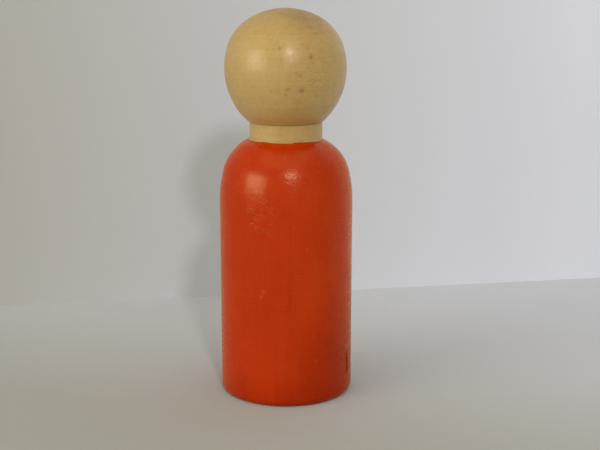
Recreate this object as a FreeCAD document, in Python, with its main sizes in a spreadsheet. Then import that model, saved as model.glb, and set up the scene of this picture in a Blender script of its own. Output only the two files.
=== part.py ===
import FreeCAD, Part
import math
import os

import Sketcher

# Wooden peg doll: a turned barrel-shaped body with a short neck, a separately turned ball head
# glued on the body's tenon, and a paint film over the barrel, shoulders and foot of the neck.
# Millimetres. The origin is the centre of the flat base, +Z up along the turning axis, and the
# doll faces -Y. The ball head leans a little towards -X, as a hand-glued head does.

DIMENSIONS = [
    # Body, bare wood
    ("body_diameter", 30.6),
    ("base_edge_radius", 1.6),
    ("barrel_top", 45.52),         # end of the straight side
    ("shoulder_side_radius", 30.6),
    ("shoulder_side_sweep", 14.2),  # degrees
    ("shoulder_bend_radius", 9.77),
    ("shoulder_bend_sweep", 41.0),  # degrees
    ("shoulder_top_radius", 3.59),
    ("neck_diameter", 16.86),
    ("neck_cove_radius", 0.9),
    ("neck_top", 64.25),           # seat for the head
    ("tenon_diameter", 8.0),
    ("tenon_length", 10.0),
    ("tenon_chamfer", 0.6),
    # Paint film
    ("paint_thickness", 0.2),
    ("paint_foot_gap", 0.05),      # the film stops this far above the base
    ("paint_collar_top", 60.6),    # the film climbs the foot of the neck to here
    # Ball head, measured from its flat underside
    ("head_diameter", 28.06),
    ("head_height", 25.6),
    ("head_equator", 12.0),
    ("head_rim_radius", 0.4),      # rounding between the underside and the ball
    ("head_side_radius", 16.33),
    ("head_temple_radius", 11.5),
    ("head_crown_radius", 16.3),
    ("head_lean", 0.7),            # degrees towards -X
    ("head_offset", 0.08),         # how far the head is glued on off centre, towards +X
    ("socket_diameter", 8.5),
    ("socket_depth", 10.8),
    ("drill_point_angle", 118.0),  # degrees
    # Glue between the head and the neck
    ("glue_line", 0.05),           # thinnest part of the joint
    ("glue_setback", 0.03),        # how far the glue stays inside the neck's edge
]

VOLUME_TOLERANCE = 0.02            # largest allowed relative difference from the hand formula


def make_sheet(doc):
    """Put the driving dimensions in a spreadsheet, one aliased cell each."""
    sheet = doc.addObject("Spreadsheet::Sheet", "Dimensions")
    for row, (alias, value) in enumerate(DIMENSIONS, start=1):
        sheet.set(f"A{row}", alias)
        sheet.set(f"B{row}", str(value))
        sheet.setAlias(f"B{row}", alias)
    doc.recompute()
    return sheet


def polar(centre, radius, angle):
    """The point at an angle, in radians, on a circle."""
    return (centre[0] + radius * math.cos(angle), centre[1] + radius * math.sin(angle))


def angle_from(centre, point):
    return math.atan2(point[1] - centre[1], point[0] - centre[0])


class Outline:
    """A closed half-section in a body's XZ plane, drawn edge by edge counter-clockwise.

    Sketch x is the radius and sketch y is the height. Every edge starts where the last one ended.
    The points given to line and arc place the first drawing; the bound constraints size it.
    """

    def __init__(self, body, name):
        self.sketch = body.newObject("Sketcher::SketchObject", name)
        planes = [item for item in body.Origin.OriginFeatures if item.Role == "XZ_Plane"]
        self.sketch.AttachmentSupport = [(planes[0], "")]
        self.sketch.MapMode = "FlatFace"
        self.first = None
        self.last = None

    def _chain(self, index, start_point, end_point, tangent):
        """Join an edge's start to the end of the edge before it."""
        if self.first is None:
            self.first = (index, start_point)
        else:
            kind = "Tangent" if tangent else "Coincident"
            self.sketch.addConstraint(Sketcher.Constraint(kind, *self.last, index, start_point))
        self.last = (index, end_point)
        return index

    def line(self, start, end, direction=None, tangent=False):
        """Add a straight edge; direction is Horizontal, Vertical or None."""
        points = [FreeCAD.Vector(*start, 0), FreeCAD.Vector(*end, 0)]
        index = self.sketch.addGeometry(Part.LineSegment(*points), False)
        if direction:
            self.sketch.addConstraint(Sketcher.Constraint(direction, index))
        return self._chain(index, 1, 2, tangent)

    def arc(self, centre, radius, from_angle, to_angle, tangent=True):
        """Add an arc between two angles, in radians; it runs clockwise if the second is less."""
        circle = Part.Circle(FreeCAD.Vector(*centre, 0), FreeCAD.Vector(0, 0, 1), radius)
        low, high = sorted((from_angle, to_angle))
        index = self.sketch.addGeometry(Part.ArcOfCircle(circle, low, high), False)
        ends = (1, 2) if to_angle > from_angle else (2, 1)
        return self._chain(index, *ends, tangent)

    def bind(self, kind, geometry, value, expression):
        """Add a dimension driven from the sheet. geometry is edge numbers and point numbers."""
        index = self.sketch.addConstraint(Sketcher.Constraint(kind, *geometry, value))
        self.sketch.setExpression(f"Constraints[{index}]", expression)

    def bind_point(self, edge, point, place, radius=None, height=None):
        """Drive a point's radius and height, each from its own expression where one is given."""
        if radius:
            self.bind("DistanceX", (-1, 1, edge, point), place[0], radius)
        if height:
            self.bind("DistanceY", (-1, 1, edge, point), place[1], height)

    def put_on_base(self, edge):
        """Hold an edge's first point on the sketch's horizontal axis."""
        self.sketch.addConstraint(Sketcher.Constraint("PointOnObject", edge, 1, -1))

    def close(self):
        """Join the last edge to the first, which starts on the turning axis."""
        self.sketch.addConstraint(Sketcher.Constraint("Coincident", *self.last, *self.first))
        self.sketch.addConstraint(Sketcher.Constraint("PointOnObject", *self.first, -2))


def make_body(doc, name):
    body = doc.addObject("PartDesign::Body", name)
    body.Label = name
    return body


def revolve(body, outline, name):
    """Turn an outline into a solid of revolution about the body's Z axis."""
    if outline.sketch.solve() != 0 or not outline.sketch.FullyConstrained:
        raise RuntimeError(f"{outline.sketch.Name} isn't fully constrained")
    turned = body.newObject("PartDesign::Revolution", name)
    turned.Profile = outline.sketch
    turned.ReferenceAxis = (outline.sketch, ["V_Axis"])
    turned.Angle = 360.0
    outline.sketch.Visibility = False


def add_shoulder(outline, sheet, film, film_expression):
    """Draw the shoulder's three arcs and the cove at the foot of the neck, `film` outside the wood.

    The arcs' centres are the same for the wood and for the paint. The cove is hollow, so there
    the film takes its thickness off the radius. Returns the point where the neck's side starts.
    """
    side_sweep = math.radians(sheet.shoulder_side_sweep)
    bend_end = side_sweep + math.radians(sheet.shoulder_bend_sweep)
    side_reach = sheet.shoulder_side_radius - sheet.shoulder_bend_radius
    bend_reach = sheet.shoulder_bend_radius - sheet.shoulder_top_radius
    side_centre = (sheet.body_diameter / 2 - sheet.shoulder_side_radius, sheet.barrel_top)
    bend_centre = polar(side_centre, side_reach, side_sweep)
    top_centre = polar(bend_centre, bend_reach, bend_end)
    cove_across = sheet.neck_diameter / 2 + sheet.neck_cove_radius - top_centre[0]
    cove_apart = sheet.shoulder_top_radius + sheet.neck_cove_radius
    top_end = math.acos(cove_across / cove_apart)
    cove_centre = polar(top_centre, cove_apart, top_end)
    cove_radius = sheet.neck_cove_radius - film

    side = outline.arc(side_centre, sheet.shoulder_side_radius + film, 0, side_sweep)
    bend = outline.arc(bend_centre, sheet.shoulder_bend_radius + film, side_sweep, bend_end)
    top = outline.arc(top_centre, sheet.shoulder_top_radius + film, bend_end, top_end)
    cove = outline.arc(cove_centre, cove_radius, math.pi + top_end, math.pi)
    for edge, alias, radius in ((side, "shoulder_side_radius", sheet.shoulder_side_radius),
                                (bend, "shoulder_bend_radius", sheet.shoulder_bend_radius),
                                (top, "shoulder_top_radius", sheet.shoulder_top_radius)):
        outline.bind("Radius", (edge,), radius + film, f"Dimensions.{alias}{film_expression}")
    for edge, alias, angle in ((side, "shoulder_side_sweep", side_sweep),
                               (bend, "shoulder_bend_sweep", bend_end - side_sweep)):
        outline.bind("Angle", (edge,), angle, f"Dimensions.{alias} * 1 deg")
    outline.bind("Radius", (cove,), cove_radius,
                 "Dimensions.neck_cove_radius" + film_expression.replace("+", "-"))
    return (cove_centre[0] - cove_radius, cove_centre[1])


def make_wood_body(doc, sheet):
    """The turned body: barrel, shoulders, neck and the tenon that holds the head."""
    radius = sheet.body_diameter / 2
    edge = sheet.base_edge_radius
    neck = sheet.neck_diameter / 2
    tenon = sheet.tenon_diameter / 2
    tenon_top = sheet.neck_top + sheet.tenon_length
    chamfer = sheet.tenon_chamfer

    body = make_body(doc, "body")
    outline = Outline(body, "BodyOutline")
    base = outline.line((0, 0), (radius - edge, 0), "Horizontal")
    rounding = outline.arc((radius - edge, edge), edge, -math.pi / 2, 0)
    barrel = outline.line((radius, edge), (radius, sheet.barrel_top), "Vertical", tangent=True)
    neck_start = add_shoulder(outline, sheet, 0.0, "")
    neck_side = outline.line(neck_start, (neck, sheet.neck_top), "Vertical", tangent=True)
    seat = outline.line((neck, sheet.neck_top), (tenon, sheet.neck_top), "Horizontal")
    tenon_side = outline.line((tenon, sheet.neck_top), (tenon, tenon_top - chamfer), "Vertical")
    outline.line((tenon, tenon_top - chamfer), (tenon - chamfer, tenon_top))
    tenon_end = outline.line((tenon - chamfer, tenon_top), (0, tenon_top), "Horizontal")
    outline.line((0, tenon_top), (0, 0), "Vertical")
    outline.close()

    outline.put_on_base(base)
    outline.bind("Radius", (rounding,), edge, "Dimensions.base_edge_radius")
    outline.bind_point(barrel, 2, (radius, sheet.barrel_top),
                       radius="Dimensions.body_diameter / 2", height="Dimensions.barrel_top")
    outline.bind_point(neck_side, 2, (neck, sheet.neck_top),
                       radius="Dimensions.neck_diameter / 2", height="Dimensions.neck_top")
    outline.bind_point(seat, 2, (tenon, sheet.neck_top), radius="Dimensions.tenon_diameter / 2")
    outline.bind_point(tenon_side, 2, (tenon, tenon_top - chamfer),
                       height="Dimensions.neck_top + Dimensions.tenon_length"
                              " - Dimensions.tenon_chamfer")
    outline.bind_point(tenon_end, 1, (tenon - chamfer, tenon_top),
                       radius="Dimensions.tenon_diameter / 2 - Dimensions.tenon_chamfer",
                       height="Dimensions.neck_top + Dimensions.tenon_length")
    revolve(body, outline, "TurnedBody")
    return body


def make_paint(doc, sheet, wood_body):
    """The paint film: an envelope one film thickness outside the wood, less the wood itself."""
    film = sheet.paint_thickness
    radius = sheet.body_diameter / 2 + film
    edge = sheet.base_edge_radius + film
    foot = sheet.paint_foot_gap
    collar_top = (sheet.neck_diameter / 2 + film, sheet.paint_collar_top)
    edge_centre = (radius - edge, sheet.base_edge_radius)
    foot_angle = -math.asin((edge_centre[1] - foot) / edge)

    envelope = make_body(doc, "paint_envelope")
    outline = Outline(envelope, "PaintOutline")
    sole = outline.line((0, foot), polar(edge_centre, edge, foot_angle), "Horizontal")
    rounding = outline.arc(edge_centre, edge, foot_angle, 0, tangent=False)
    barrel = outline.line((radius, edge_centre[1]), (radius, sheet.barrel_top), "Vertical",
                          tangent=True)
    collar_start = add_shoulder(outline, sheet, film, " + Dimensions.paint_thickness")
    collar = outline.line(collar_start, collar_top, "Vertical", tangent=True)
    outline.line(collar_top, (0, collar_top[1]), "Horizontal")
    outline.line((0, collar_top[1]), (0, foot), "Vertical")
    outline.close()

    outline.bind_point(sole, 1, (0, foot), height="Dimensions.paint_foot_gap")
    outline.bind("Radius", (rounding,), edge,
                 "Dimensions.base_edge_radius + Dimensions.paint_thickness")
    outline.bind_point(barrel, 1, (radius, edge_centre[1]), height="Dimensions.base_edge_radius")
    outline.bind_point(barrel, 2, (radius, sheet.barrel_top),
                       radius="Dimensions.body_diameter / 2 + Dimensions.paint_thickness",
                       height="Dimensions.barrel_top")
    outline.bind_point(collar, 2, collar_top,
                       radius="Dimensions.neck_diameter / 2 + Dimensions.paint_thickness",
                       height="Dimensions.paint_collar_top")
    revolve(envelope, outline, "PaintEnvelope")

    paint = doc.addObject("Part::Cut", "body_paint")
    paint.Label = "body_paint"
    paint.Base = envelope
    paint.Tool = wood_body
    return paint


def head_arc_centres(sheet):
    """Centres of the head's side, temple and crown arcs, in the head's own half-section.

    The side arc is centred at the equator's height, the crown arc on the axis, and the temple arc
    touches both from inside.
    """
    side = (sheet.head_diameter / 2 - sheet.head_side_radius, sheet.head_equator)
    crown = (0.0, sheet.head_height - sheet.head_crown_radius)
    from_side = sheet.head_side_radius - sheet.head_temple_radius
    from_crown = sheet.head_crown_radius - sheet.head_temple_radius
    gap = math.hypot(crown[0] - side[0], crown[1] - side[1])
    along = (from_side**2 - from_crown**2 + gap**2) / (2 * gap)
    turn = math.acos(along / from_side)
    temple = polar(side, from_side, angle_from(side, crown) + turn)
    return side, temple, crown


def make_head(doc, sheet):
    """The ball head, slightly squat, with a flat underside and a drilled blind socket."""
    height = sheet.head_height
    rim = sheet.head_rim_radius
    side_centre, temple_centre, crown_centre = head_arc_centres(sheet)
    rim_angle = -math.asin((sheet.head_equator - rim) / (sheet.head_side_radius - rim))
    rim_centre = polar(side_centre, sheet.head_side_radius - rim, rim_angle)
    lower_touch = angle_from(side_centre, temple_centre)
    upper_touch = angle_from(crown_centre, temple_centre)

    head = make_body(doc, "head")
    outline = Outline(head, "HeadOutline")
    underside = outline.line((0, 0), (rim_centre[0], 0), "Horizontal")
    rounding = outline.arc(rim_centre, rim, -math.pi / 2, rim_angle)
    side = outline.arc(side_centre, sheet.head_side_radius, rim_angle, lower_touch)
    temple = outline.arc(temple_centre, sheet.head_temple_radius, lower_touch, upper_touch)
    crown = outline.arc(crown_centre, sheet.head_crown_radius, upper_touch, math.pi / 2)
    outline.line((0, height), (0, 0), "Vertical")
    outline.close()

    outline.put_on_base(underside)
    outline.sketch.addConstraint(Sketcher.Constraint("PointOnObject", crown, 3, -2))
    outline.bind("Radius", (rounding,), rim, "Dimensions.head_rim_radius")
    outline.bind("Radius", (side,), sheet.head_side_radius, "Dimensions.head_side_radius")
    outline.bind_point(side, 3, side_centre,
                       radius="Dimensions.head_diameter / 2 - Dimensions.head_side_radius",
                       height="Dimensions.head_equator")
    outline.bind("Radius", (temple,), sheet.head_temple_radius, "Dimensions.head_temple_radius")
    outline.bind("Radius", (crown,), sheet.head_crown_radius, "Dimensions.head_crown_radius")
    outline.bind_point(crown, 2, (0, height), height="Dimensions.head_height")
    revolve(head, outline, "TurnedHead")
    doc.recompute()
    drill_socket(doc, sheet, head)

    lean = math.radians(sheet.head_lean)
    pivot = sheet.neck_diameter / 2
    seat = FreeCAD.Vector(sheet.head_offset + pivot * math.cos(lean) - pivot, 0,
                          sheet.neck_top + sheet.glue_line + pivot * math.sin(lean))
    turn = FreeCAD.Rotation(FreeCAD.Vector(0, 1, 0), -sheet.head_lean)
    head.Placement = FreeCAD.Placement(seat, turn)
    return head


def drill_socket(doc, sheet, head):
    """Drill the blind socket up into the head from its flat underside."""
    sketch = head.newObject("Sketcher::SketchObject", "SocketCircle")
    planes = [item for item in head.Origin.OriginFeatures if item.Role == "XY_Plane"]
    sketch.AttachmentSupport = [(planes[0], "")]
    sketch.MapMode = "FlatFace"
    radius = sheet.socket_diameter / 2
    circle = Part.Circle(FreeCAD.Vector(0, 0, 0), FreeCAD.Vector(0, 0, 1), radius)
    ring = sketch.addGeometry(circle, False)
    sketch.addConstraint(Sketcher.Constraint("Coincident", ring, 3, -1, 1))
    bore = sketch.addConstraint(Sketcher.Constraint("Diameter", ring, sheet.socket_diameter))
    sketch.setExpression(f"Constraints[{bore}]", "Dimensions.socket_diameter")
    doc.recompute()

    undrilled_volume = head.Shape.Volume
    socket = head.newObject("PartDesign::Hole", "Socket")
    socket.Profile = sketch
    doc.recompute()
    socket.Reversed = True
    socket.DepthType = "Dimension"
    socket.DrillPoint = "Angled"
    socket.setExpression("DrillPointAngle", "Dimensions.drill_point_angle")
    socket.setExpression("Diameter", "Dimensions.socket_diameter")
    socket.setExpression("Depth", "Dimensions.socket_depth")
    sketch.Visibility = False
    doc.recompute()

    tip = radius / math.tan(math.radians(sheet.drill_point_angle / 2))
    expected = math.pi * radius**2 * (sheet.socket_depth + tip / 3)
    removed = undrilled_volume - head.Shape.Volume
    if abs(removed - expected) > VOLUME_TOLERANCE * expected:
        raise RuntimeError(f"the socket removes {removed:.1f} mm3, not {expected:.1f} mm3")


def make_glue(doc, wood_body, head):
    """The cured glue: all the room between the head and the neck, tenon and socket end included."""
    pool = doc.addObject("Part::Cylinder", "GluePool")
    pool.setExpression("Radius", "Dimensions.neck_diameter / 2 - Dimensions.glue_setback")
    pool.setExpression("Height", "Dimensions.head_height * 3 / 4")
    pool.setExpression("Placement.Base.z", "Dimensions.neck_top")
    around_tenon = doc.addObject("Part::Cut", "GlueAroundTenon")
    around_tenon.Base = pool
    around_tenon.Tool = wood_body
    glue = doc.addObject("Part::Cut", "neck_glue")
    glue.Label = "neck_glue"
    glue.Base = around_tenon
    glue.Tool = head
    return glue


def check_document(doc):
    """Stop if any object of the document failed to compute."""
    for item in doc.Objects:
        if "Invalid" in item.State or "Error" in item.State:
            raise RuntimeError(f"{item.Name} did not compute: {item.State}")


def export(parts):
    """Write each sub-part as one STEP file named after its label."""
    for part in parts:
        shape = part.Shape
        if shape.isNull() or not shape.isValid() or len(shape.Solids) != 1:
            raise RuntimeError(f"{part.Label} is not one valid solid")
    os.makedirs("parts", exist_ok=True)
    for part in parts:
        part.Shape.exportStep(os.path.join("parts", part.Label + ".step"))
        box = part.Shape.optimalBoundingBox()
        print(f"{part.Label}: {part.Shape.Volume:.1f} mm3, z {box.ZMin:.2f} to {box.ZMax:.2f},"
              f" x {box.XMin:.2f} to {box.XMax:.2f}")


def main():
    doc = FreeCAD.newDocument("peg_doll")
    sheet = make_sheet(doc)
    wood_body = make_wood_body(doc, sheet)
    doc.recompute()
    paint = make_paint(doc, sheet, wood_body)
    head = make_head(doc, sheet)
    glue = make_glue(doc, wood_body, head)
    doc.recompute()
    check_document(doc)
    export([wood_body, head, paint, glue])


main()
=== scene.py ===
import math

import bmesh
import bpy
import numpy as np
from mathutils import Matrix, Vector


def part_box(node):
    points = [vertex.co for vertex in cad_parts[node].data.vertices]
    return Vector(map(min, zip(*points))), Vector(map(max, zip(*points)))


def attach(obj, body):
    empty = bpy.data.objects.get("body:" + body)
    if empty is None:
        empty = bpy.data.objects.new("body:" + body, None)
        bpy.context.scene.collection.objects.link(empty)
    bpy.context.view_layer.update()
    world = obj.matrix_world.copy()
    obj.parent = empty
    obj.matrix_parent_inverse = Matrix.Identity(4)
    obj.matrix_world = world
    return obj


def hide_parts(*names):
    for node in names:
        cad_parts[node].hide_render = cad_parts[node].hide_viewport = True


# A wooden peg doll: bare wood body and ball head, a coat of paint on the body, and the glue in
# the joint. Lengths are in millimetres until a mesh, a light or the camera is made.
# Azimuth is measured round the turning axis in degrees, 0 at the doll's front (-Y), 90 at +X.

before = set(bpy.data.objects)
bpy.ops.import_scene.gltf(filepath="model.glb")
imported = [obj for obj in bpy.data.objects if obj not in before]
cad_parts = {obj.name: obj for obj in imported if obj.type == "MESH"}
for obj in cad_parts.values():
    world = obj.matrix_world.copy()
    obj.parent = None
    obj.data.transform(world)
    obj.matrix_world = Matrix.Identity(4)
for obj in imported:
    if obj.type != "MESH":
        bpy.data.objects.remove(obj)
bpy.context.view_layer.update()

MM = 0.001
SEGMENTS = 360                    # faces round each turned piece
FINE = 0.25                       # spacing of the rows on visible surfaces
COARSE = 1.5                      # spacing of the rows on hidden ones

# The CAD model's shapes that a box does not give
BASE_EDGE_RADIUS = 1.6
BARREL_TOP = 45.52
SHOULDER_RADII = (30.6, 9.77, 3.59)
SHOULDER_SWEEPS = (14.2, 41.0)    # degrees, of the first two arcs
NECK_RADIUS = 8.43
NECK_COVE_RADIUS = 0.9
NECK_TOP = 64.25
TENON_RADIUS = 4.0
TENON_CHAMFER = 0.6
HEAD_RADIUS = 14.03
HEAD_HEIGHT = 25.6
HEAD_EQUATOR = 12.0
HEAD_RIM_RADIUS = 0.4
HEAD_ARC_RADII = (16.33, 11.5, 16.3)   # side, temple and crown
HEAD_LEAN = 0.7                   # degrees towards -X
HEAD_OFFSET = 0.08                # towards +X
SOCKET_RADIUS = 4.25
SOCKET_DEPTH = 10.8
SOCKET_POINT = 2.55               # height of the drill point's cone

# The wood's grain and marks, and a painted shade on the ball
BULLSEYE_AZIMUTH = 31.0           # where the growth rings face straight out of the wood
BULLSEYE_HEIGHT = 12.5            # above the ball's underside
PITH_DISTANCE = 70.0              # from the turning axis to the middle of the tree's rings
RING_WIDTH = 1.15
# Painted shade: a patch of the ball's crown, to +X, is darkened to stand for shade.
PAINTED_SHADE_PLACE = (38.0, 8.0, 23.5)      # azimuth, distance from the axis and height on the ball
PAINTED_SHADE_WIDTH = 6.5
HEAD_FLECKS = (  # azimuth, height above the ball's underside, half width, half height, strength
    (-4.6, 17.7, 0.46, 0.40, 0.7), (24.8, 15.6, 0.28, 0.50, 1.0), (23.2, 17.3, 0.22, 0.24, 0.5),
    (2.5, 8.7, 0.55, 0.26, 0.7), (15.6, 8.2, 0.34, 0.42, 1.0), (13.0, 8.2, 0.26, 0.24, 0.5),
    (0.6, 7.4, 0.30, 0.24, 0.6), (31.1, 6.9, 0.30, 0.24, 0.45), (10.5, 12.3, 0.34, 0.30, 0.5),
    (13.6, 11.6, 0.40, 0.26, 0.5), (-13.0, 8.4, 0.30, 0.20, 0.35), (152.0, 9.5, 0.40, 0.28, 0.7),
    (-98.0, 14.2, 0.30, 0.30, 0.6), (118.0, 17.5, 0.26, 0.22, 0.5), (-140.0, 6.4, 0.34, 0.22, 0.6),
)

# The body's surface and its paint
BARREL_RADIUS = 15.3              # for distances round the barrel
LINING_GAP = 0.01                 # between the wood and the inside of the paint film
PAINT_LEVEL = 60.57               # height of the paint's upper edge before it dips and wanders
COLLAR_FOOT = 59.3                # the paint's rows shift above this height to meet its edge
EDGE_ROLL = 0.32                  # how far below its edge the film reaches full thickness
CRACK_AZIMUTH = 65.4
CRACK_BOW = 1.8                   # degrees that its middle bends away from its ends
CRACK_FOOT = 4.2
CRACK_LENGTH = 6.5
STIPPLE_ROWS = (  # azimuths of the two ends, height at the first, how far the middle is raised
    (-33, -13, 49.2, 0.9), (-30, -8, 46.6, 1.3), (-34, -24, 46.0, 0.5),
    (-27, -9, 43.9, 1.1), (-32, -20, 42.3, 0.6), (-22, -8, 41.2, 0.8),
)
SCATTERED_NIBS = ((26, (-14, 40), (40, 58)), (60, (-180, 180), (3, 57)))  # count, azimuths, heights
PLACED_NIBS = (  # azimuth, height, how tall, width
    (-18.8, 27.4, 0.11, 0.42), (-20.6, 26.2, 0.09, 0.40), (0.0, 57.8, 0.08, 0.36),
    (18.7, 37.2, 0.07, 0.34), (26.3, 10.7, 0.08, 0.36),
)

# The stage
STAGE_REACH = 3000                # how far the floor and the wall go
WALL_LEFT = (-85.0, 66.0)         # two places on the floor that the wall stands over
WALL_RIGHT = (99.0, 98.0)
LIGHT_DISTANCE = 1200
LIGHT_TARGET_HEIGHT = 55          # the lights are aimed at the middle of the doll
CAMERA_PLACE = (3.25, -286.5, 105.2)
CAMERA_TILT = 0.225               # radians below level


def millimetres(node):
    """Lowest and highest corner of a CAD node, in millimetres."""
    low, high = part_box(node)
    return np.array(low) / MM, np.array(high) / MM


# ---------------------------------------------------------------- noise and soft shapes

def hashed(cells, seed):
    """A fixed random number from -1 to 1 for each whole-number cell."""
    mixed = (cells.astype(np.uint64) * np.array([374761393, 668265263, 2246822519], np.uint64))
    value = (mixed.sum(axis=-1) + np.uint64(seed * 3266489917)) & np.uint64(0xFFFFFFFF)
    value = ((value ^ (value >> np.uint64(13))) * np.uint64(1274126177)) & np.uint64(0xFFFFFFFF)
    value = value ^ (value >> np.uint64(16))
    return value.astype(float) / 0x7FFFFFFF - 1


def noise(points, size, seed):
    """Smooth noise from -1 to 1 whose lumps are `size` across, one number or one per axis."""
    grid = np.asarray(points, float) / size + 1000.0
    low = np.floor(grid)
    part = grid - low
    ease = part * part * (3 - 2 * part)
    total = 0.0
    for corner in np.ndindex(2, 2, 2):
        share = np.where(corner, ease, 1 - ease).prod(axis=-1)
        total = total + share * hashed(low + corner, seed)
    return total


def bump(distance, width):
    """A soft bell: 1 at distance 0, falling to about a third at `width`."""
    return np.exp(-(distance / width) ** 2)


def step(value, low, high):
    """A smooth step from 0 at or below `low` to 1 at or above `high`."""
    part = np.clip((value - low) / (high - low), 0, 1)
    return part * part * (3 - 2 * part)


def turned_apart(azimuth, target):
    """Signed difference between azimuths, in degrees, from -180 to 180."""
    return (azimuth - target + 180) % 360 - 180


# ---------------------------------------------------------------- turned outlines

def line(start, end, spacing):
    """Points and outward normals along a straight stretch, with the material on its left."""
    start, end = np.array(start, float), np.array(end, float)
    along = end - start
    length = np.hypot(*along)
    share = np.linspace(0, 1, max(2, round(length / spacing) + 1))[:, None]
    normal = np.array([along[1], -along[0]]) / length
    return start + share * along, np.repeat(normal[None], len(share), axis=0)


def arc(centre, radius, start, end, spacing):
    """Points and normals along an arc between two angles in degrees.

    The arc of a hollow runs backwards, from the larger angle to the smaller.
    """
    length = abs(math.radians(end - start)) * radius
    angle = np.radians(np.linspace(start, end, max(3, round(length / spacing) + 1)))
    spoke = np.column_stack([np.cos(angle), np.sin(angle)])
    return np.array(centre) + radius * spoke, spoke if end > start else -spoke


def chain(*stretches):
    """Join stretches end to end, leaving out each shared point's second copy."""
    points = [stretches[0][0]] + [stretch[0][1:] for stretch in stretches[1:]]
    normals = [stretches[0][1]] + [stretch[1][1:] for stretch in stretches[1:]]
    return np.vstack(points), np.vstack(normals)


def polar(centre, radius, angle):
    """The point at a distance and an angle, in degrees, from a centre."""
    return np.array(centre) + radius * np.array([math.cos(math.radians(angle)),
                                                 math.sin(math.radians(angle))])


def body_side(radius, foot, top, film, spacing):
    """The body's side from height `foot` on the base's rounded edge, up the neck to `top`.

    The wood's own side has film 0; the paint's lies a film's thickness outside it.
    """
    edge_centre = (radius - BASE_EDGE_RADIUS, BASE_EDGE_RADIUS)
    edge_radius = BASE_EDGE_RADIUS + film
    edge_start = -math.degrees(math.asin((BASE_EDGE_RADIUS - foot) / edge_radius))
    bend_end = sum(SHOULDER_SWEEPS)
    side, bend, crest = SHOULDER_RADII
    side_centre = (radius - side, BARREL_TOP)
    bend_centre = polar(side_centre, side - bend, SHOULDER_SWEEPS[0])
    crest_centre = polar(bend_centre, bend - crest, bend_end)
    apart = crest + NECK_COVE_RADIUS
    crest_end = math.degrees(math.acos((NECK_RADIUS + NECK_COVE_RADIUS - crest_centre[0]) / apart))
    cove_centre = polar(crest_centre, apart, crest_end)
    return chain(
        arc(edge_centre, edge_radius, edge_start, 0, spacing),
        line((radius + film, BASE_EDGE_RADIUS), (radius + film, BARREL_TOP), spacing),
        arc(side_centre, side + film, 0, SHOULDER_SWEEPS[0], spacing),
        arc(bend_centre, bend + film, SHOULDER_SWEEPS[0], bend_end, spacing),
        arc(crest_centre, crest + film, bend_end, crest_end, spacing),
        arc(cove_centre, NECK_COVE_RADIUS - film, 180 + crest_end, 180, spacing / 2),
        line((NECK_RADIUS + film, cove_centre[1]), (NECK_RADIUS + film, top), spacing),
    )


def head_outline():
    """The ball's whole outline in its own frame, from the socket's end round to the crown."""
    side, temple, crown = HEAD_ARC_RADII
    side_centre = np.array([HEAD_RADIUS - side, HEAD_EQUATOR])
    crown_centre = np.array([0.0, HEAD_HEIGHT - crown])
    between = crown_centre - side_centre
    gap = np.hypot(*between)
    along = ((side - temple) ** 2 - (crown - temple) ** 2 + gap ** 2) / (2 * gap)
    turn = math.degrees(math.acos(along / (side - temple)))
    temple_centre = polar(side_centre, side - temple,
                          math.degrees(math.atan2(between[1], between[0])) + turn)
    low_touch, high_touch = (math.degrees(math.atan2(*(temple_centre - centre)[::-1]))
                             for centre in (side_centre, crown_centre))
    rim = HEAD_RIM_RADIUS
    spacing = 0.8 * FINE
    rim_angle = -math.degrees(math.asin((HEAD_EQUATOR - rim) / (side - rim)))
    rim_centre = polar(side_centre, side - rim, rim_angle)
    return chain(
        line((0, SOCKET_DEPTH + SOCKET_POINT), (SOCKET_RADIUS, SOCKET_DEPTH), COARSE),
        line((SOCKET_RADIUS, SOCKET_DEPTH), (SOCKET_RADIUS, 0), COARSE),
        line((SOCKET_RADIUS, 0), (rim_centre[0], 0), COARSE / 2),
        arc(rim_centre, rim, -90, rim_angle, rim / 4),
        arc(side_centre, side, rim_angle, low_touch, spacing),
        arc(temple_centre, temple, low_touch, high_touch, spacing),
        arc(crown_centre, crown, high_touch, 90, spacing),
    )


# ---------------------------------------------------------------- turned meshes

class Turned:
    """A turned surface as a grid of points: one row per outline point, one column per segment."""

    def __init__(self, outline):
        self.profile, self.profile_normals = outline
        self.azimuth = np.arange(SEGMENTS)[None, :] * 360.0 / SEGMENTS
        turn = np.radians(self.azimuth)
        self.around = np.stack([np.sin(turn), -np.cos(turn)], axis=-1)
        self.height = np.repeat(self.profile[:, 1:], SEGMENTS, axis=1)
        self.points = self._spread(self.profile)
        self.normals = self._spread(self.profile_normals)

    def _spread(self, pairs):
        """Turn pairs of a radial and an upright part round the axis."""
        across = pairs[:, None, :1] * self.around
        upright = np.repeat(pairs[:, None, 1:], SEGMENTS, axis=1)
        return np.concatenate([across, upright], axis=-1)

    def push(self, distance):
        """Move the surface along its normals."""
        self.points = self.points + self.normals * np.asarray(distance)[..., None]


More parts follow.
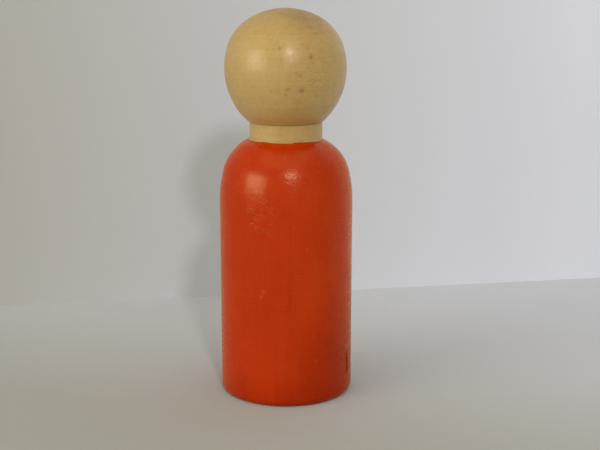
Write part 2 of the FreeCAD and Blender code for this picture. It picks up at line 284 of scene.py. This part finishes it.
def make_piece(name, surface, looped, marks=None, matrix=None):
    """A closed mesh from a turned surface. marks are per-point numbers that its material reads.

    A looped outline closes on itself; any other starts and ends on the turning axis.
    """
    rows = len(surface.points)
    flat = surface.points.reshape(-1, 3)
    index = np.arange(rows * SEGMENTS).reshape(rows, SEGMENTS)
    beside = np.roll(index, -1, axis=1)
    above = np.roll(index, -1, axis=0)
    beside_above = np.roll(beside, -1, axis=0)
    faces = np.stack([index, beside, beside_above, above], axis=-1)
    faces = (faces if looped else faces[:-1]).reshape(-1, 4)
    mesh = bpy.data.meshes.new(name)
    mesh.from_pydata((flat * MM).tolist(), [], faces.tolist())
    for label, values in (marks or {}).items():
        attribute = mesh.attributes.new(label, "FLOAT", "POINT")
        spread = np.broadcast_to(values, index.shape).astype(np.float32)
        attribute.data.foreach_set("value", spread.ravel())
    if not looped:
        tidy = bmesh.new()
        tidy.from_mesh(mesh)
        bmesh.ops.remove_doubles(tidy, verts=tidy.verts, dist=1e-7)
        tidy.to_mesh(mesh)
        tidy.free()
    if matrix is not None:
        mesh.transform(matrix)
    mesh.shade_smooth()
    mesh.set_sharp_from_angle(angle=math.radians(38))
    mesh.validate()
    piece = bpy.data.objects.new(name, mesh)
    bpy.context.scene.collection.objects.link(piece)
    return piece


# ---------------------------------------------------------------- the body's marks and dents

def crack_shape(azimuth, height):
    """A thin upright crack low on the +X side, tapered at both ends.

    Returns how deep in it a point is, and how high on the raised lip on its front side.
    """
    middle = CRACK_AZIMUTH + CRACK_BOW * np.sin((height - CRACK_FOOT) / CRACK_LENGTH * math.pi)
    across = np.radians(turned_apart(azimuth, middle)) * BARREL_RADIUS
    along = step(height, 4.0, 6.2) * (1 - step(height, 9.6, 10.8))
    depth = bump(across, 0.42) * along
    lip = bump(across + 0.70, 0.34) * along
    return depth, lip


def body_dents(points, azimuth):
    """How far the wood's own surface, with any paint on it, stands out of true."""
    height = points[..., 2]
    lumps = 0.035 * noise(points, (9, 9, 16), 3) + 0.008 * noise(points, (2.2, 2.2, 7), 4)
    depth, lip = crack_shape(azimuth, height)
    on_side = step(height, 0.6, 2.5) * (1 - step(height, 59.0, 62.0))
    return (lumps - 0.50 * depth + 0.12 * lip) * on_side


def nib_positions():
    """Azimuth, height, how tall and width of each speck of dust under the paint film."""
    rng = np.random.default_rng(20)
    nibs = []
    for count, azimuths, heights in SCATTERED_NIBS:
        places = np.column_stack([rng.uniform(*azimuths, count), rng.uniform(*heights, count)])
        nibs += [(*place, rng.uniform(0.015, 0.04), rng.uniform(0.18, 0.28)) for place in places]
    return nibs + list(PLACED_NIBS)


def nib_relief(azimuth, height, radius):
    """How far the specks of dust raise the paint."""
    relief = np.zeros(np.broadcast(azimuth, height).shape)
    for place, level, tall, width in nib_positions():
        across = np.radians(turned_apart(azimuth, place)) * radius
        relief += tall * bump(np.hypot(across, height - level), width)
    return relief


def stipple_rows(azimuth, height):
    """Where a stiff brush has left rows of short marks, under the shoulder at the front, to -X."""
    place = turned_apart(azimuth, 0)
    rows = np.zeros(np.broadcast(azimuth, height).shape)
    for start, end, first_level, rise in STIPPLE_ROWS:
        share = (place - start) / (end - start)
        level = first_level + rise * np.sin(np.clip(share, 0, 1) * math.pi) - 1.4 * share
        within = step(share, -0.05, 0.15) * (1 - step(share, 0.85, 1.05))
        rows = np.maximum(rows, bump(height - level, 0.6) * within)
    return rows


def painted_shade_tone(azimuth, height):
    """Painted shade, deepening the colour low down, most of all on the +X side, and at the foot; a
    band at the front is paler.
    """
    place = turned_apart(azimuth, 0)
    # Painted shade low on the +X side, away from the lights.
    painted_low_shade = step(place, -10, 60) * (1 - step(place, 100, 150)) * (1 - step(height, 4, 30))
    # Painted shade at the foot, next to the floor.
    foot = 1 - step(height, -2, 9)
    paler = bump(place - 22, 16) * step(height, 12, 25) * (1 - step(height, 48, 56))
    return 0.50 * painted_low_shade + 0.40 * foot - 0.22 * paler


def paint_seam(points, azimuth, height):
    """Strength of a faint, broken, wavering upright line in the paint of the front."""
    wobble = 0.7 * noise(points, (50, 50, 5), 31) + 0.3 * noise(points, (50, 50, 1.6), 32)
    along = step(height, 17, 26) * (1 - step(height, 42, 52))
    broken = 0.55 + 0.6 * noise(points, (50, 50, 2.6), 33)
    return bump(turned_apart(azimuth, 0) - 3.5 - wobble, 1.1) * along * broken


def orange_peel(azimuth, height):
    """How strongly the paint's skin is grained: fully at the front of the shoulder only."""
    return 0.06 + 0.94 * bump(turned_apart(azimuth, 6), 24) * bump(height - 53, 6)


def paint_edge(azimuth):
    """Height of the paint's hand-painted upper edge on the neck, round the doll."""
    turn = np.radians(azimuth)
    ring = np.stack([NECK_RADIUS * np.sin(turn), -NECK_RADIUS * np.cos(turn), 0 * turn], axis=-1)
    wander = 0.05 * noise(ring, 5.0, 11) + 0.05 * noise(ring, 1.7, 12) + 0.03 * noise(ring, 0.8, 13)
    place = turned_apart(azimuth, 0)
    dip = -0.20 * step(place, -34, -14) * (1 - step(place, 9, 14))
    return PAINT_LEVEL + wander + dip - 0.48 * np.sin(turn) ** 2


# ---------------------------------------------------------------- pieces

def make_body():
    _, high = millimetres("body")
    radius = high[0]
    chamfer_foot = high[2] - TENON_CHAMFER
    tenon_end = TENON_RADIUS - TENON_CHAMFER
    outline = chain(
        line((0, 0), (radius - BASE_EDGE_RADIUS, 0), COARSE),
        body_side(radius, 0.0, NECK_TOP, 0.0, FINE),
        line((NECK_RADIUS, NECK_TOP), (TENON_RADIUS, NECK_TOP), COARSE),
        line((TENON_RADIUS, NECK_TOP), (TENON_RADIUS, chamfer_foot), COARSE),
        line((TENON_RADIUS, chamfer_foot), (tenon_end, high[2]), COARSE),
        line((tenon_end, high[2]), (0, high[2]), COARSE),
    )
    surface = Turned(outline)
    neck = step(surface.height, 60.0, 61.5) * (1 - step(surface.height, NECK_TOP - 0.6, NECK_TOP))
    turning = 0.012 * noise(surface.points, (40, 40, 0.55), 7)
    surface.push(body_dents(surface.points, surface.azimuth) + neck * turning)
    marks = {"end_grain": np.abs(surface.normals[..., 2]) ** 3}
    return make_piece("body_wood", surface, looped=False, marks=marks)


def make_paint():
    _, wood_high = millimetres("body")
    low, high = millimetres("body_paint")
    radius = wood_high[0]
    film = high[0] - radius
    outer = body_side(radius, low[2], high[2], film, FINE)
    inner = body_side(radius, low[2], high[2], LINING_GAP, FINE * 4)
    inner = (inner[0][::-1], -inner[1][::-1])
    surface = Turned((np.vstack([outer[0], inner[0]]), np.vstack([outer[1], inner[1]])))
    is_outer = (np.arange(len(surface.points)) < len(outer[0]))[:, None]

    # The collar's rows shift up or down so that the film ends at its wandering edge.
    edge = paint_edge(surface.azimuth)
    surface.points[..., 2] += step(surface.height, COLLAR_FOOT, high[2]) * (edge - high[2])

    # Paint fills the hollow at the foot of the neck, and is fullest on the -X side.
    across = np.hypot(surface.points[..., 0], surface.points[..., 1])
    beyond = across - NECK_RADIUS
    fuller = bump(turned_apart(surface.azimuth, -75), 55)
    full = edge - 0.12 - (0.35 - 0.20 * fuller) * beyond - (0.10 + 0.04 * fuller) * beyond ** 2
    full = full + 0.03 * noise(surface.points, 2.5, 23)
    soft = 0.05
    level = surface.points[..., 2]
    heaped = soft * np.logaddexp(level / soft, full / soft) - level
    heaped = heaped * (1 - step(across, 10.4, 14.3)) * step(surface.height, 50, 54)
    heaped = np.minimum(heaped, np.maximum(edge - level, 0))
    surface.points[..., 2] += np.where(is_outer, heaped, 0)

    # The film thins in a quarter round towards its edge on the neck.
    below_edge = edge - surface.points[..., 2]
    inside = np.clip(below_edge / EDGE_ROLL, 0, 1)
    thinning = (1 - np.sqrt(1 - (1 - inside) ** 2)) * film * 0.9 * (1 - step(beyond, 0.25, 0.5))
    dents = body_dents(surface.points, surface.azimuth)
    brushed = 0.003 * noise(surface.points, (7, 7, 0.8), 21)
    brushed = brushed + 0.002 * noise(surface.points, 0.7, 22)
    calm = step(surface.points[..., 2], 0.3, 1.5)
    nibs = nib_relief(surface.azimuth, surface.points[..., 2], radius)
    outward = dents + calm * (brushed + nibs) - thinning
    surface.push(np.where(is_outer, outward, -dents))

    depth, lip = crack_shape(surface.azimuth, surface.height)
    marks = {
        "crack": depth,
        "lip": lip,
        "seam": paint_seam(surface.points, surface.azimuth, surface.height),
        # Painted shade: a dark line along the paint's upper edge, where the film steps onto the
        # neck.
        "rim": bump(np.hypot(below_edge, beyond - film), 0.25),
        # The nib and stipple marks also carry painted highlights in the paint's colour.
        "nib": np.clip(nibs / 0.06, 0, 1) * is_outer,
        "stipple": stipple_rows(surface.azimuth, surface.height) * is_outer,
        "tone": painted_shade_tone(surface.azimuth, surface.height),
        "peel": orange_peel(surface.azimuth, surface.height),
    }
    return make_piece("body_paint_coat", surface, looped=True, marks=marks)


def head_matrix():
    """The ball's place: it leans towards -X and sits on the neck's rim there."""
    low, _ = millimetres("head")
    lean = math.radians(HEAD_LEAN)
    underside = low[2] + NECK_RADIUS * math.sin(lean)
    seat = (HEAD_OFFSET + NECK_RADIUS * math.cos(lean) - NECK_RADIUS, 0, underside)
    return Matrix.Translation([value * MM for value in seat]) @ Matrix.Rotation(-lean, 4, "Y")


def make_head():
    surface = Turned(head_outline())
    outside = surface.profile[:, :1] > SOCKET_RADIUS + 0.1
    near_axis = (surface.profile[:, :1] < SOCKET_RADIUS + 0.1) & (surface.profile[:, 1:] > 15)
    shown = np.maximum(outside, near_axis) * step(surface.height, 0.1, 1.2)
    fleck = np.zeros(surface.height.shape)
    ragged = 0.85 + 0.4 * noise(surface.points, 0.45, 41)
    for place, level, wide, tall, strength in HEAD_FLECKS:
        across = np.radians(turned_apart(surface.azimuth, place)) * surface.profile[:, :1]
        apart = np.hypot(across / wide, (surface.height - level) / tall) * ragged
        fleck = np.maximum(fleck, strength * bump(apart, 1.0))
    lumps = 0.05 * noise(surface.points, 8.0, 42) + 0.015 * noise(surface.points, 2.5, 43)
    turning = 0.006 * noise(surface.points, (60, 60, 0.7), 44)
    surface.push(shown * (lumps + turning - 0.07 * fleck))
    across = np.radians(turned_apart(surface.azimuth, BULLSEYE_AZIMUTH)) * surface.profile[:, :1]
    from_bullseye = np.hypot(across, surface.height - BULLSEYE_HEIGHT)
    # Painted shade: the centre of the darkened patch on the ball's crown.
    azimuth, distance, level = PAINTED_SHADE_PLACE
    turn = math.radians(azimuth)
    painted_shade_centre = np.array([distance * math.sin(turn), -distance * math.cos(turn), level])
    marks = {
        "fleck": fleck * shown,
        "end_grain": np.abs(surface.normals[..., 2]) ** 3,
        "figure": bump(from_bullseye, 4.8),
        "shade": bump(np.linalg.norm(surface.points - painted_shade_centre, axis=-1), PAINTED_SHADE_WIDTH),
    }
    return make_piece("head_ball", surface, looped=False, marks=marks, matrix=head_matrix())


# ---------------------------------------------------------------- materials

class Graph:
    """A material's node graph, with short calls for the nodes that the materials share."""

    def __init__(self, name):
        self.material = bpy.data.materials.new(name)
        self.material.use_nodes = True
        self.tree = self.material.node_tree
        self.shader = self.tree.nodes["Principled BSDF"]
        coordinates = self.tree.nodes.new("ShaderNodeTexCoord")
        self.place = self.vector("MULTIPLY", coordinates.outputs["Object"], (1000, 1000, 1000))

    def node(self, kind, inputs=(), **settings):
        """Add a node. inputs are (socket, value) pairs and settings are its other properties."""
        made = self.tree.nodes.new(kind)
        for name, value in settings.items():
            setattr(made, name, value)
        for socket, value in inputs:
            self.feed(made.inputs[socket], value)
        return made

    def feed(self, socket, value):
        """Link a node's output to a socket, or set the socket to a constant."""
        if isinstance(value, bpy.types.NodeSocket):
            self.tree.links.new(value, socket)
        else:
            socket.default_value = value

    def surface(self, name, value):
        """Give one of the shader's inputs a value."""
        self.feed(self.shader.inputs[name], value)

    def vector(self, operation, first, second):
        return self.node("ShaderNodeVectorMath", ((0, first), (1, second)),
                         operation=operation).outputs[0]

    def math(self, operation, first, second=0.0, third=0.0):
        return self.node("ShaderNodeMath", ((0, first), (1, second), (2, third)),
                         operation=operation).outputs[0]

    def noise(self, size, detail=2.0, roughness=0.5, offset=0.0):
        """Noise about 0, mostly within -0.3 to 0.3; size is a lump's size along x, y and z."""
        scaled = self.vector("MULTIPLY", self.place, tuple(1 / value for value in size))
        moved = self.vector("ADD", scaled, (offset, offset * 0.7, offset * 1.3))
        made = self.node("ShaderNodeTexNoise",
                         (("Vector", moved), ("Scale", 1.0), ("Detail", detail),
                          ("Roughness", roughness)))
        return self.math("SUBTRACT", made.outputs[0], 0.5)

    def mark(self, name):
        """A number stored on the mesh's points."""
        return self.node("ShaderNodeAttribute", attribute_name=name).outputs["Fac"]

    def total(self, *terms):
        """The sum of a constant and (value, weight) pairs."""
        value = terms[0]
        for source, weight in terms[1:]:
            value = self.math("MULTIPLY_ADD", source, weight, value)
        return value

    def ramp(self, value, stops):
        """A colour ramp; stops are (position, colour) pairs."""
        made = self.node("ShaderNodeValToRGB", (("Fac", value),))
        elements = made.color_ramp.elements
        while len(elements) < len(stops):
            elements.new(0.5)
        for element, (position, colour) in zip(elements, stops):
            element.position = position
            element.color = (*colour, 1.0)
        return made.outputs["Color"]

    def curve(self, value, stops):
        """A ramp of plain numbers; stops are (position, number) pairs."""
        return self.ramp(value, [(position, (number,) * 3) for position, number in stops])

    def peaks(self, noise, low, high):
        """The peaks of a noise about 0: 0 up to `low`, rising to 1 at `high`."""
        stops = ((0.0, 0.0), (low + 0.5, 0.0), (high + 0.5, 1.0))
        return self.curve(self.math("ADD", noise, 0.5), stops)

    def tint(self, colour, tinted, where, strength):
        """A colour with another one mixed in by `strength` where `where` is 1, and less below."""
        factor = self.math("MULTIPLY", where, strength)
        made = self.node("ShaderNodeMix", (("Factor", factor),), data_type="RGBA")
        self.feed(made.inputs[6], colour)
        self.feed(made.inputs[7], (*tinted, 1.0))
        return made.outputs[2]

    def relief(self, height, distance, beneath=None):
        """A bump of height times distance, in millimetres, on top of any bump beneath."""
        made = self.node("ShaderNodeBump", (("Height", height), ("Distance", distance * MM)))
        if beneath is not None:
            self.feed(made.inputs["Normal"], beneath)
        return made.outputs["Normal"]


def wood_material():
    """Pale, close-grained hardwood under a thin varnish."""
    graph = Graph("bare_wood")
    turn = math.radians(BULLSEYE_AZIMUTH)
    pith = (-PITH_DISTANCE * math.sin(turn), PITH_DISTANCE * math.cos(turn), 0.0)
    from_pith = graph.vector("SUBTRACT", graph.place, pith)
    flat = graph.vector("MULTIPLY", from_pith, (1.0, 1.0, 0.0))
    distance = graph.node("ShaderNodeVectorMath", ((0, flat),), operation="LENGTH").outputs["Value"]
    height = graph.node("ShaderNodeSeparateXYZ", ((0, graph.place),)).outputs["Z"]
    warped = graph.total(distance, (graph.noise((9, 9, 20)), 2.4),
                         (graph.noise((3.2, 3.2, 2.4), offset=4.0), 1.5),
                         (graph.noise((1.2, 1.2, 0.8), offset=9.0), 0.35))
    phase = graph.math("FRACT", graph.math("DIVIDE", warped, RING_WIDTH))
    ring = graph.curve(phase, ((0.0, 0.15), (0.5, 0.3), (0.82, 1.0), (0.93, 0.9), (1.0, 0.15)))
    ring_strength = graph.math("ADD", graph.noise((10, 10, 14), offset=13.0), 0.5)
    rings = graph.math("MULTIPLY", ring, ring_strength)

    fibre = graph.noise((0.3, 0.3, 6.0), detail=3.0, roughness=0.6, offset=17.0)
    streak = graph.noise((1.4, 1.4, 24.0), detail=2.0, offset=21.0)
    tone = graph.noise((11, 11, 15), detail=2.0, offset=25.0)
    mottle = graph.noise((1.3, 1.3, 1.0), detail=3.0, roughness=0.6, offset=27.0)
    pore_noise = graph.noise((0.17, 0.17, 1.3), detail=1.0, offset=29.0)
    pores = graph.peaks(pore_noise, 0.16, 0.26)
    end_grain = graph.mark("end_grain")
    figure = graph.mark("figure")
    curl_warp = graph.noise((2.4, 2.4, 1.7), detail=1.0, offset=41.0)
    curl = graph.math("SINE", graph.total(0.0, (height, 8.0), (distance, -16.0), (curl_warp, 24.0)))
    curls = graph.math("MULTIPLY", curl, graph.math("MULTIPLY", figure, ring_strength))
    band = graph.noise((30, 30, 0.8), detail=2.0, roughness=0.6, offset=43.0)
    # The shade mark is painted shade, darkening the ball's crown to +X.
    depth = graph.total(0.40, (rings, 0.12), (curls, 0.22), (fibre, 0.22), (streak, 0.16),
                        (tone, 0.55), (mottle, 0.35), (band, 0.30), (pores, 0.12),
                        (end_grain, 0.18), (graph.mark("shade"), 0.40))
    colour = graph.ramp(depth, (
        (0.00, (0.660, 0.490, 0.215)),
        (0.35, (0.585, 0.390, 0.140)),
        (0.65, (0.510, 0.315, 0.100)),
        (1.00, (0.365, 0.198, 0.055)),
    ))
    fleck = graph.mark("fleck")
    colour = graph.tint(colour, (0.27, 0.15, 0.045), fleck, 0.80)
    graph.surface("Base Color", colour)

    uneven = graph.noise((2.5, 2.5, 2.5), detail=3.0, offset=33.0)
    roughness = graph.total(0.36, (uneven, 0.25), (pores, 0.2), (end_grain, 0.08), (fleck, 0.2))
    graph.surface("Roughness", roughness)
    graph.surface("Specular IOR Level", 0.65)
    graph.surface("Specular Tint", (1.0, 0.92, 0.70, 1.0))
    graph.surface("Coat Weight", 0.10)
    graph.surface("Coat Roughness", 0.22)

    grain = graph.total(0.0, (rings, -0.25), (fibre, 0.8), (pores, -0.7))
    normal = graph.relief(grain, 0.008)
    varnish = graph.noise((0.55, 0.55, 0.55), detail=2.0, roughness=0.6, offset=37.0)
    normal = graph.relief(varnish, 0.03, beneath=normal)
    graph.surface("Normal", normal)
    graph.surface("Coat Normal", normal)
    return graph.material


def paint_material():
    """Orange-red paint with a faint upright grain and a tinted sheen at grazing angles."""
    graph = Graph("orange_paint")
    streak = graph.noise((0.9, 0.9, 30.0), detail=3.0, offset=3.0)
    fine = graph.noise((0.28, 0.28, 7.0), detail=2.0, offset=7.0)
    blotch = graph.noise((7, 7, 9), detail=3.0, roughness=0.6, offset=11.0)
    strokes = graph.noise((6.0, 6.0, 0.45), detail=3.0, roughness=0.6, offset=15.0)
    mottle = graph.noise((0.6, 0.6, 0.6), detail=2.0, offset=19.0)
    seam = graph.mark("seam")
    # The tone mark carries painted shade low down on the +X side and at the foot.
    depth = graph.total(0.5, (streak, 0.26), (fine, 0.24), (blotch, 0.55), (strokes, 0.2),
                        (mottle, 0.22), (seam, 0.22), (graph.mark("tone"), 1.0))
    colour = graph.ramp(depth, (
        (0.0, (0.650, 0.056, 0.0120)),
        (0.5, (0.545, 0.037, 0.0080)),
        (1.0, (0.400, 0.0195, 0.0052)),
    ))
    painted_glint_colour = (0.72, 0.13, 0.03)
    crack = graph.mark("crack")
    # Painted shade: the crack is darkened almost to black where it is deep.
    hollow = graph.curve(crack, ((0.0, 0.0), (0.2, 0.1), (0.6, 1.0)))
    speck_noise = graph.noise((1.0, 1.0, 0.28), detail=1.0, offset=29.0)
    specks = graph.peaks(speck_noise, -0.01, 0.11)
    specks = graph.math("MULTIPLY", specks, graph.mark("stipple"))
    colour = graph.tint(colour, (0.06, 0.007, 0.002), hollow, 0.85)
    # Painted highlight: the crack's raised lip is made paler.
    colour = graph.tint(colour, (0.78, 0.16, 0.05), graph.mark("lip"), 0.45)
    # Painted shade along the paint's upper edge.
    colour = graph.tint(colour, (0.30, 0.05, 0.008), graph.mark("rim"), 0.6)
    # Painted highlights: the dust nibs and the brush's specks are made paler, as if catching the
    # light.
    colour = graph.tint(colour, painted_glint_colour, graph.mark("nib"), 0.35)
    colour = graph.tint(colour, painted_glint_colour, specks, 0.22)
    graph.surface("Base Color", colour)

    roughness = graph.total(0.26, (blotch, 0.12), (strokes, 0.08), (mottle, 0.10), (crack, 0.3))
    graph.surface("Roughness", roughness)
    graph.surface("Diffuse Roughness", 0.2)
    graph.surface("Specular IOR Level", 0.5)
    graph.surface("Specular Tint", (1.0, 0.84, 0.55, 1.0))
    graph.surface("Coat Weight", 1.0)
    graph.surface("Coat IOR", 1.06)
    graph.surface("Coat Roughness", 0.3)
    graph.surface("Coat Tint", (1.0, 0.90, 0.70, 1.0))

    grain = graph.total(0.0, (streak, 1.0), (fine, 0.2), (strokes, 0.12))
    normal = graph.relief(grain, 0.022)
    skin = graph.noise((0.3, 0.3, 0.3), detail=1.0, roughness=0.5, offset=23.0)
    normal = graph.relief(graph.math("MULTIPLY", skin, graph.mark("peel")), 0.048, beneath=normal)
    normal = graph.relief(specks, 0.075, beneath=normal)
    graph.surface("Normal", normal)
    return graph.material


def glue_material():
    """Dried wood glue, cloudy and amber with a few bubbles."""
    graph = Graph("wood_glue")
    cloud = graph.noise((0.8, 0.8, 0.5), detail=3.0, offset=5.0)
    bubbles = graph.peaks(graph.noise((0.25, 0.25, 0.25), offset=9.0), 0.12, 0.24)
    colour = graph.ramp(graph.total(0.5, (cloud, 1.0), (bubbles, -0.2)), (
        (0.0, (0.52, 0.35, 0.15)),
        (1.0, (0.34, 0.20, 0.075)),
    ))
    graph.surface("Base Color", colour)
    graph.surface("Roughness", graph.total(0.55, (cloud, 0.3)))
    graph.surface("Normal", graph.relief(graph.total(cloud, (bubbles, 0.5)), 0.03))
    return graph.material


# ---------------------------------------------------------------- stage, lights and camera

def stage_plane(name, corners, material):
    """A flat part of the stage between four corners."""
    mesh = bpy.data.meshes.new(name)
    mesh.from_pydata([tuple(value * MM for value in corner) for corner in corners], [],
                     [(0, 1, 2, 3)])
    plane = bpy.data.objects.new(name, mesh)
    plane.data.materials.append(material)
    bpy.context.scene.collection.objects.link(plane)


def stage_material(name, stops, direction, span):
    """The graph of a matt paper with painted light and shade: its colour drifts along a direction
    from stop to stop.

    span says where, in millimetres along the direction, the first and the last stop lie.
    """
    graph = Graph(name)
    along = graph.node("ShaderNodeVectorMath", ((0, graph.place), (1, direction)),
                       operation="DOT_PRODUCT").outputs["Value"]
    share = graph.node("ShaderNodeMapRange", (("Value", along), ("From Min", span[0]),
                                              ("From Max", span[1]))).outputs[0]
    graph.surface("Base Color", graph.ramp(share, stops))
    graph.surface("Roughness", 0.85)
    graph.surface("Specular IOR Level", 0.2)
    return graph


def make_floor():
    # Painted light and shade: the floor is darker and warmer to the front and -X, paler and bluer
    # to the back and +X.
    paper = stage_material("floor_paper", (
        (0.00, (0.475, 0.460, 0.425)),
        (0.14, (0.485, 0.468, 0.430)),
        (0.38, (0.567, 0.562, 0.556)),
        (0.50, (0.613, 0.606, 0.614)),
        (0.75, (0.660, 0.661, 0.695)),
        (1.00, (0.690, 0.685, 0.723)),
    ), (0.4, 1.0, 0.0), (-55, 125))
    stage_plane("floor", ((-STAGE_REACH, -STAGE_REACH, 0), (STAGE_REACH, -STAGE_REACH, 0),
                          (STAGE_REACH, STAGE_REACH, 0), (-STAGE_REACH, STAGE_REACH, 0)),
                paper.material)


def make_wall():
    # Painted light and shade: the wall is darker and warmer to -X, paler and bluer to +X.
    paper = stage_material("wall_paper", (
        (0.00, (0.530, 0.522, 0.498)),
        (0.19, (0.596, 0.596, 0.590)),
        (0.40, (0.655, 0.672, 0.690)),
        (0.65, (0.729, 0.754, 0.795)),
        (0.86, (0.790, 0.810, 0.876)),
        (1.00, (0.868, 0.888, 0.958)),
    ), (1.0, 0.0, 0.0), (-85, 88))
    # The wall shows from the doll's side only, so that the doll can be seen from behind as well.
    geometry = paper.node("ShaderNodeNewGeometry")
    clear = paper.node("ShaderNodeBsdfTransparent")
    switch = paper.node("ShaderNodeMixShader", ((0, geometry.outputs["Backfacing"]),
                                                (1, paper.shader.outputs[0]),
                                                (2, clear.outputs[0])))
    output = paper.tree.nodes["Material Output"]
    paper.tree.links.new(switch.outputs[0], output.inputs["Surface"])
    slope = (WALL_RIGHT[1] - WALL_LEFT[1]) / (WALL_RIGHT[0] - WALL_LEFT[0])
    middle = WALL_LEFT[1] - slope * WALL_LEFT[0]
    near, far = middle - slope * STAGE_REACH, middle + slope * STAGE_REACH
    stage_plane("wall", ((-STAGE_REACH, near, 0), (STAGE_REACH, far, 0),
                         (STAGE_REACH, far, STAGE_REACH), (-STAGE_REACH, near, STAGE_REACH)),
                paper.material)


def add_light(name, azimuth, elevation, size, power, colour):
    """A soft rectangular light aimed at the middle of the doll. Its two sizes are in metres."""
    data = bpy.data.lights.new(name, "AREA")
    data.shape = "RECTANGLE"
    data.size, data.size_y = size
    data.energy = power
    data.color = colour
    light = bpy.data.objects.new(name, data)
    turn, rise = math.radians(azimuth), math.radians(elevation)
    away = np.array([math.sin(turn) * math.cos(rise), -math.cos(turn) * math.cos(rise),
                     math.sin(rise)])
    target = np.array([0.0, 0.0, LIGHT_TARGET_HEIGHT])
    light.location = (target + away * LIGHT_DISTANCE) * MM
    light.rotation_euler = (math.radians(90 - elevation), 0, turn)
    light.visible_camera = False
    bpy.context.scene.collection.objects.link(light)


def make_lights():
    add_light("window", azimuth=-57, elevation=13.5, size=(0.74, 0.40), power=4.5,
              colour=(1.0, 0.97, 0.89))
    add_light("lamp", azimuth=11, elevation=28.6, size=(0.09, 0.09), power=3.2,
              colour=(1.0, 0.93, 1.0))
    add_light("ceiling", azimuth=-10, elevation=80, size=(1.6, 1.6), power=3.8,
              colour=(0.98, 0.99, 0.74))
    world = bpy.data.worlds.new("room")
    world.use_nodes = True
    background = world.node_tree.nodes["Background"]
    background.inputs["Color"].default_value = (0.95, 0.98, 0.90, 1.0)
    background.inputs["Strength"].default_value = 0.44
    bpy.context.scene.world = world


def set_tones():
    """Show the light's own tones, with the darkest ones very slightly deeper."""
    view = bpy.context.scene.view_settings
    view.view_transform = "Standard"
    view.use_curve_mapping = True
    view.curve_mapping.black_level = (0.005, 0.005, 0.005)
    view.curve_mapping.update()


def make_camera():
    """In front of the doll, a little above its head, looking down at it."""
    data = bpy.data.cameras.new("camera")
    data.lens = 75.0
    data.sensor_width = 36.0
    data.clip_start = 0.01
    data.clip_end = 20.0
    camera = bpy.data.objects.new("camera", data)
    camera.location = [value * MM for value in CAMERA_PLACE]
    camera.rotation_euler = (math.pi / 2 - CAMERA_TILT, 0, 0)
    bpy.context.scene.collection.objects.link(camera)
    bpy.context.scene.camera = camera


make_camera()
wood = wood_material()
for piece, node, slot, material in (
    (make_body(), "body", "bare_wood", wood),
    (make_head(), "head", "bare_wood", wood),
    (make_paint(), "body_paint", "orange_paint", paint_material()),
):
    piece.data.materials.append(material)
    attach(piece, "root")
    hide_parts(node)

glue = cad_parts["neck_glue"]
glue.material_slots[0].material = glue_material()

make_floor()
make_wall()
make_lights()
set_tones()
